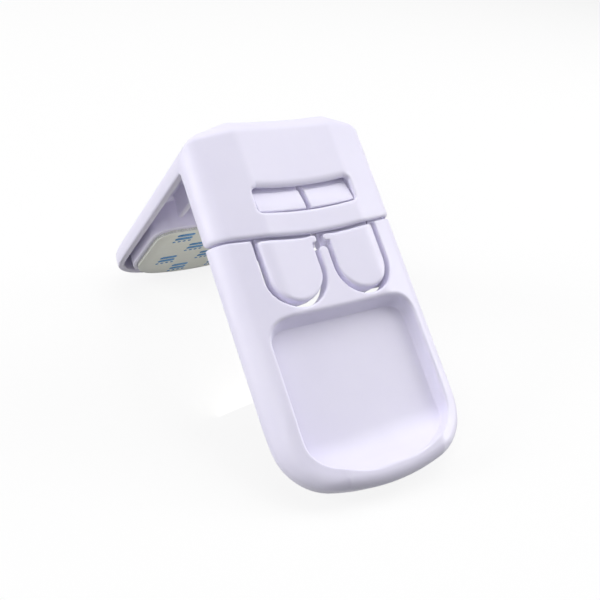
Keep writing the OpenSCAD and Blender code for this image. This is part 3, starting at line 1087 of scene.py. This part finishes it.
@dataclass
class BodyShell(Moulding):
    """The body's shell: panel, dish, round end, button openings, lugs, tongues, shelves and tuck lip."""

    name: str = "body_moulding"
    body: Body = Body.LOCK
    node: str = "body_shell"
    grid: Grid = ((-23.4, 18.8, -8.2), (23.4, 79.2, 1.0), 0.24)
    end: EndPlan = EndPlan(SIZES.front_len, SIZES.half, SIZES.end_arc, SIZES.end_corner)
    dish_plan: PadPlan = PadPlan(42.6, 4.5, EndPlan(74.95, 17.4, 30.0, 7.5))
    dish_floor: float = 16.4
    dish_depth: float = 4.6
    dish_lip: float = 0.25
    dish_top_slope: float = 1.6
    dish_ramp: float = 4.6
    dish_wall: float = 1.2
    floor_edge: float = 0.2
    ramp_blend: float = 2.6
    lip_blend: Span = (0.8, 0.4)
    lip_y: Span = (64.0, 71.0)
    finger_half: float = 1.05
    finger_y: float = 31.0
    slot_deep: float = 4.6
    slot_edge: float = 0.5
    skirt_t: float = 1.0
    skirt_low: float = -4.2
    lug_u: float = 18.7
    lug_half: float = 2.2
    guide_u: Span = (14.8, 18.8)
    guide_y: Span = (20.0, 29.0)
    guide_z: Span = (-6.8, -4.75)
    shelf_y: Span = (27.35, 31.25)
    shelf_z: Span = (-6.8, -6.17)
    lip_skin: Span = (-2.6, -1.4)
    lip_reach: float = 25.8
    lip_end: float = 28.5
    lip_u: float = 14.15
    edge: float = 0.4
    root: float = 0.4
    skin_left: float = 0.8

    def dish(self, grow: float, floor_edge: float) -> DishForm:
        """The dish's room, or the outside of its wall when grown.

        Args:
            grow: Thickness added all round.
            floor_edge: Softness of the corner round the floor.

        Returns:
            The dish's form.
        """
        plan = self.dish_plan
        half = plan.end.half + grow
        rim = (half - SIZES.panel) * math.tan(SIZES.facet) + self.dish_lip
        end = EndPlan(plan.end.length + grow, half, plan.end.arc + grow, plan.end.corner + grow)
        grown = PadPlan(plan.start - grow, plan.start_corner + grow, end)
        return DishForm(
            grown, self.dish_floor + grow, self.dish_depth + grow, rim,
            self.dish_top_slope, self.dish_ramp, floor_edge, self.ramp_blend,
        )

    def openings(self, u: Array, y: Array) -> Array:
        """Signed distance of both button openings, less the finger between them."""
        a = np.abs(u)
        past = np.maximum(y - SIZES.button_y, 0.0)
        slot = np.hypot(a - SIZES.button_x, past) - SIZES.button_r - SIZES.slot_gap
        room = np.minimum(slot, np.maximum(a - SIZES.button_x, y - SIZES.button_y))
        finger = np.hypot(u, np.maximum(self.finger_y - y, 0.0)) - self.finger_half
        return np.maximum(room, -finger)

    def fittings(self, a: Array, y: Array, z: Array, outer: Array) -> Array:
        """Signed distance of the pivot lugs, guide tongues and leaf shelves.

        Args:
            a: Points away from the middle plane.
            y: Points along the front plate.
            z: Points out of the front plate.
            outer: Distance to the shell's outside.

        Returns:
            Distance to the fittings, negative inside.
        """
        lug_y = (SIZES.pivot_y - self.lug_half, SIZES.pivot_y + self.lug_half)
        deep = (-SIZES.front_depth, SIZES.front_depth)
        lug = block(a, y, z, ((self.lug_u, SIZES.half + SIZES.wall), lug_y, deep), self.edge)
        tongue = block(a, y, z, (self.guide_u, self.guide_y, self.guide_z), self.edge)
        shelf = block(a, y, z, (self.guide_u, self.shelf_y, self.shelf_z), self.edge)
        post = block(a, y, z, (self.guide_u, self.guide_y, (self.guide_z[0], SIZES.wall)), self.edge)
        inside = np.maximum(np.minimum(lug, post), outer + self.skin_left)
        return np.minimum(np.minimum(tongue, shelf), inside)

    def shape(self, u: Array, y: Array, z: Array) -> Array:
        """Signed distance of the shell.

        Args:
            u: Points across.
            y: Points along the front plate.
            z: Points out of the front plate.

        Returns:
            Distance to the shell's skin, negative inside.
        """
        out = z + SIZES.drop
        a = np.abs(u)
        skin, outer, inner = SECTION.plate(self.end, u, y, out)
        outer = soft_max(outer, -SIZES.bowed(u, y, SIZES.part_y + SIZES.part_gap), SIZES.rim_edge)
        shell = np.maximum(outer, -inner)
        under = self.dish(self.dish_wall, SECTION.inner_blend).distance(u, y, out)
        shell = soft_min(shell, np.maximum(under, outer + self.skin_left), self.root)
        shell = soft_min(shell, self.fittings(a, y, z, outer), self.root)
        tuck = soft_max(slab(skin, self.lip_skin), -SIZES.bowed(u, y, self.lip_reach), self.edge)
        tuck = np.maximum(np.maximum(tuck, y - self.lip_end), self.lip_u - a)
        tuck = soft_max(tuck, -(z + SIZES.front_depth), SIZES.rim_edge)
        slots = self.openings(u, y)
        skirt = soft_max(slots - self.skirt_t, self.skirt_low - z, self.edge)
        shell = np.minimum(shell, np.maximum(skirt, outer + self.skin_left))
        shell = soft_max(shell, -(z + SIZES.front_depth), SIZES.rim_edge)
        lip = np.interp(y, self.lip_y, self.lip_blend)
        shell = soft_max(shell, -self.dish(0.0, self.floor_edge).distance(u, y, out), lip)
        radius = SIZES.pin_r + SIZES.pin_clear
        bore_u = (SIZES.pin_u[0] - SIZES.pin_clear, SIZES.pin_u[1] + SIZES.pin_clear)
        bore = np.hypot(y - SIZES.pivot_y, z - SIZES.pivot_z) - radius
        shell = np.maximum(shell, -np.maximum(bore, slab(a, bore_u)))
        shell = soft_max(shell, -np.maximum(slots, -(z + self.slot_deep)), self.slot_edge)
        return np.minimum(shell, tuck)


@dataclass
class PressLever:
    """A press button with its neck, riser, arm, pivot pin, hook and return leaf."""

    side: Side
    inner_u: float = 0.85
    shoulder_y: float = 29.0
    cap_low: float = 3.7
    cap_gap: float = 0.55
    cap_corner: float = 0.7
    cap_edge: Span = (0.3, 0.9)
    cap_edge_u: Span = (2.4, 3.6)
    neck_u: Span = (0.6, 13.7)
    post_u: float = 11.55
    post_y: Span = (36.0, 40.3)
    neck_z: Span = (-4.6, -2.5)
    riser_y: Span = (27.5, 29.6)
    riser_u: float = 1.3
    riser_top: float = -1.7
    arm_u: Span = (8.05, 18.4)
    arm_y: Span = (36.0, 39.6)
    arm_z: Span = (-6.7, -5.5)
    hook_u: Span = (0.55, 11.6)
    hook_y: Span = (14.7, 21.65)
    hook_z: Span = (-4.6, -0.7)
    hook_ramp: Span = (20.9, 0.25)
    hook_tuck: Span = (17.0, -2.1)
    leaf_u: Span = (15.3, 17.3)
    leaf_y: Point = (30.0, 31.6, 36.0)
    leaf_z: Span = (-5.12, -6.1)
    leaf_t: float = 0.6
    lever_grid: Grid = ((0.2, 20.8, -7.3), (21.2, 41.1, 0.2), 0.22)
    hook_grid: Grid = ((0.1, 13.9, -5.2), (12.0, 22.4, 0.2), 0.18)
    leaf_grid: Grid = ((14.9, 29.5, -6.9), (17.7, 36.5, -4.3), 0.14)
    edge: float = 0.35
    root: float = 0.4
    pieces: list[Piece] = field(default_factory=list)

    def button(self, u: Array, y: Array) -> Array:
        """Signed distance of the button's outline."""
        past = np.maximum(y - SIZES.button_y, 0.0)
        round_end = np.hypot(u - SIZES.button_x, past) - SIZES.button_r
        inner = slab(u, (self.inner_u, SIZES.button_x))
        shoulder = soft_max(inner, y - self.shoulder_y, self.cap_corner)
        return soft_min(round_end, shoulder, self.root)

    def lever(self, u: Array, y: Array, z: Array) -> Array:
        """Signed distance of the lever without its hook and leaf.

        Args:
            u: Points across, away from the middle.
            y: Points along the front plate.
            z: Points out of the front plate.

        Returns:
            Distance to the lever's skin, negative inside.
        """
        plan = self.button(u, y)
        outline = soft_max(plan, -SIZES.bowed(u, y, SIZES.part_y + self.cap_gap), self.cap_corner)
        edge = np.interp(u, self.cap_edge_u, self.cap_edge)
        cap = soft_max(outline, SECTION.distance(u, z + SIZES.drop), edge)
        cap = soft_max(cap, -(z + self.cap_low), self.edge)
        neck = soft_max(slab(u, self.neck_u), y - self.riser_y[1], self.edge)
        neck = np.maximum(neck, -SIZES.bowed(u, y, self.hook_y[1]))
        neck = soft_max(neck, slab(z, self.neck_z), self.edge)
        riser_z = (self.neck_z[0], self.riser_top)
        riser = block(u, y, z, ((self.riser_u, self.neck_u[1]), self.riser_y, riser_z), self.edge)
        post_u, post_z = (self.arm_u[0], self.post_u), (self.arm_z[0], self.riser_top)
        post = np.maximum(block(u, y, z, (post_u, self.post_y, post_z), self.edge), plan)
        arm = block(u, y, z, (self.arm_u, self.arm_y, self.arm_z), self.edge)
        pin = np.hypot(y - SIZES.pivot_y, z - SIZES.pivot_z) - SIZES.pin_r
        pin = soft_max(pin, slab(u, SIZES.pin_u), self.edge)
        body = soft_min(cap, soft_min(neck, riser, self.root), self.root)
        return soft_min(soft_min(body, post, self.root), np.minimum(arm, pin), self.root)

    def hook(self, u: Array, y: Array, z: Array) -> Array:
        """Signed distance of the wedge hook, whose tip tucks under the window's upper edge.

        Args:
            u: Points across, away from the middle.
            y: Points along the front plate.
            z: Points out of the front plate.

        Returns:
            Distance to the hook's skin, negative inside.
        """
        room = np.maximum(SIZES.bowed(u, y, self.hook_y[1]), -SIZES.bowed(u, y, self.hook_y[0]))
        room = soft_max(room, slab(u, self.hook_u), self.edge)
        crest, rise = self.hook_ramp
        ramp = (z - self.hook_z[1] - (y - crest) * rise) / math.hypot(1.0, rise)
        face = soft_max(ramp, z - self.hook_z[1], self.edge)
        wedge = soft_max(soft_max(room, face, self.edge), self.hook_z[0] - z, self.edge)
        tuck_y, tuck_z = self.hook_tuck
        return soft_max(wedge, -np.maximum(SIZES.bowed(u, y, tuck_y), tuck_z - z), self.edge)

    def leaf(self, u: Array, y: Array, z: Array) -> Array:
        """Signed distance of the return leaf, level at its tip and sloping up to the arm."""
        tip, bend, root = self.leaf_y
        middle = np.interp(y, (bend, root), self.leaf_z)
        band = np.abs(z - middle) - self.leaf_t / 2
        plan = soft_max(slab(u, self.leaf_u), slab(y, (tip, root)), self.edge)
        return soft_max(plan, band, self.leaf_t / 3)

    def build(self) -> None:
        """Wraps the lever, its hook and its leaf."""
        for name, shape, grid in (
            ("lever", self.lever, self.lever_grid),
            ("hook", self.hook, self.hook_grid),
            ("leaf", self.leaf, self.leaf_grid),
        ):
            skin = Skin(shape, *grid)
            self.pieces.append(skin.mesh(f"{self.side.value}_press_{name}", self.side is Side.LEFT))

    def dress(self) -> None:
        """Gives the lever's parts their plastic and their body."""
        body = Body.LEFT if self.side is Side.LEFT else Body.RIGHT
        material = LEVER_FINISH.material()
        for piece, node in zip(self.pieces, ("lever", "hook", "return_leaf")):
            settle_piece(piece, body, Slot.LEVER, material, f"{self.side.value}_{node}")


# Studio


@dataclass(frozen=True)
class Lamp:
    """A soft rectangular lamp that looks at the lock."""

    name: str
    place: Point
    size: Span
    power: float
    colour: Colour = (1.0, 1.0, 1.0)
    aim: Point = (0.0, 0.0, 0.025)

    def build(self) -> None:
        """Adds the lamp to the scene."""
        data = bpy.data.lights.new(self.name, "AREA")
        data.shape = "RECTANGLE"
        data.size, data.size_y = self.size
        data.energy = self.power
        data.color = self.colour
        lamp = bpy.data.objects.new(self.name, data)
        lamp.location = self.place
        lamp.visible_camera = False
        look = Vector(self.aim) - Vector(self.place)
        lamp.rotation_euler = look.to_track_quat("-Z", "Y").to_euler()
        bpy.context.scene.collection.objects.link(lamp)


@dataclass
class Studio:
    """Camera, pale floor, soft lamps and a white surround."""

    camera_place: Point = (-0.08472765, -0.12615545, 0.10338725)
    camera_axes: tuple[Point, ...] = (
        (0.83867243, -0.53143123, 0.11920316),
        (0.18147468, 0.47903356, 0.85883281),
        (-0.51351289, -0.69864704, 0.49819355),
    )
    lens: float = 45.88
    sensor: float = 36.0
    clip_start: float = 0.005
    ambient: float = 0.02
    ambient_tint: Colour = (0.98, 0.98, 1.0)
    floor_reach: float = 3.0
    floor_seen: Colour = (0.95, 0.95, 0.95)
    floor_bounce: Colour = (0.24, 0.24, 0.25)
    floor_glow: float = 0.85
    lamps: tuple[Lamp, ...] = (
        Lamp("key_softbox", (0.3, -0.02, 0.62), (0.45, 0.45), 1.7),
        Lamp("top_softbox", (0.0, 0.15, 0.75), (0.5, 0.5), 1.54),
        Lamp("left_strip", (-0.75, 0.22, 0.2), (0.25, 0.7), 4.6),
        Lamp("right_strip", (0.7, -0.2, 0.25), (0.25, 0.7), 3.55),
        Lamp("front_fill", (-0.55, -0.45, 0.4), (0.4, 0.4), 1.6),
        Lamp("upper_fill", (-0.6, 0.1, 0.45), (0.3, 0.5), 0.57),
        Lamp(
            "inner_card", (0.004, -0.014, 0.004), (0.05, 0.016), 0.006,
            colour=(1.0, 0.96, 0.84), aim=(-0.004, 0.04, 0.022),
        ),
    )

    def camera(self) -> None:
        """Places the camera at the photograph's viewpoint."""
        data = bpy.data.cameras.new("viewpoint")
        data.sensor_fit = "HORIZONTAL"
        data.sensor_width = self.sensor
        data.lens = self.lens
        data.clip_start = self.clip_start
        camera = bpy.data.objects.new("viewpoint", data)
        turn = Matrix(self.camera_axes).transposed().to_4x4()
        camera.matrix_world = Matrix.Translation(self.camera_place) @ turn
        bpy.context.scene.collection.objects.link(camera)
        bpy.context.scene.camera = camera

    @staticmethod
    def seen_ray(tree: bpy.types.NodeTree) -> Socket:
        """Value that is 1 for camera, glossy and transmission rays, and 0 for the rest."""
        path = tree.nodes.new("ShaderNodeLightPath")
        value = path.outputs["Is Camera Ray"]
        for other in ("Is Glossy Ray", "Is Transmission Ray"):
            either = tree.nodes.new("ShaderNodeMath")
            either.operation = "MAXIMUM"
            tree.links.new(value, either.inputs[0])
            tree.links.new(path.outputs[other], either.inputs[1])
            value = either.outputs[0]
        return value

    def floor(self) -> None:
        """Lays a pale floor under the lock, which shows white and keeps a soft shadow."""
        bench = NodeBench("floor_paper")
        seen = self.seen_ray(bench.tree)
        paper = bench.add("ShaderNodeBsdfDiffuse", Roughness=0.6)
        bench.link(bench.tint(seen, self.floor_bounce, self.floor_seen), paper.inputs["Color"])
        glow = bench.add("ShaderNodeEmission", Strength=1.0)
        share = bench.tree.nodes.new("ShaderNodeMath")
        share.operation = "MULTIPLY"
        share.inputs[1].default_value = self.floor_glow
        bench.link(seen, share.inputs[0])
        mix = bench.tree.nodes.new("ShaderNodeMixShader")
        bench.link(share.outputs[0], mix.inputs["Fac"])
        bench.link(paper.outputs[0], mix.inputs[1])
        bench.link(glow.outputs[0], mix.inputs[2])
        r = self.floor_reach
        corners = np.array([(-r, -r, 0.0), (r, -r, 0.0), (r, r, 0.0), (-r, r, 0.0)])
        ground = make_piece("floor", corners, [(0, 1, 2, 3)])
        ground.data.materials.append(bench.finish(mix))

    def surround(self) -> None:
        """Sets the white surround, which lights the lock only softly."""
        world = bpy.data.worlds.new("surround")
        world.use_nodes = True
        tree = world.node_tree
        tree.nodes.clear()
        output = tree.nodes.new("ShaderNodeOutputWorld")
        white = tree.nodes.new("ShaderNodeBackground")
        white.inputs["Color"].default_value = (1.0, 1.0, 1.0, 1.0)
        white.inputs["Strength"].default_value = 1.0
        soft = tree.nodes.new("ShaderNodeBackground")
        soft.inputs["Color"].default_value = (*self.ambient_tint, 1.0)
        soft.inputs["Strength"].default_value = self.ambient
        mix = tree.nodes.new("ShaderNodeMixShader")
        tree.links.new(self.seen_ray(tree), mix.inputs["Fac"])
        tree.links.new(soft.outputs[0], mix.inputs[1])
        tree.links.new(white.outputs[0], mix.inputs[2])
        tree.links.new(mix.outputs[0], output.inputs["Surface"])
        bpy.context.scene.world = world
        bpy.context.scene.view_settings.view_transform = "Standard"

    def build(self) -> None:
        """Sets up the whole studio."""
        self.camera()
        self.floor()
        self.surround()
        for lamp in self.lamps:
            lamp.build()


def main() -> None:
    """Builds the studio, then builds and dresses every sub-assembly."""
    logging.basicConfig(level=logging.INFO, format="%(message)s")
    Studio().build()
    assemblies = (
        CornerBracket(),
        BodyShell(),
        PressLever(Side.LEFT),
        PressLever(Side.RIGHT),
        PadStack("bracket", Body.BRACKET, BRACKET_PAD, 9.6, 0.6, on_back=True, marks=LinerPrint()),
        PadStack("body", Body.LOCK, BODY_PAD, 6.2, 1.2, on_back=False),
    )
    for assembly in assemblies:
        assembly.build()
        assembly.dress()
        LOG.info("built %s", type(assembly).__name__)


if __name__ == "__main__":
    main()
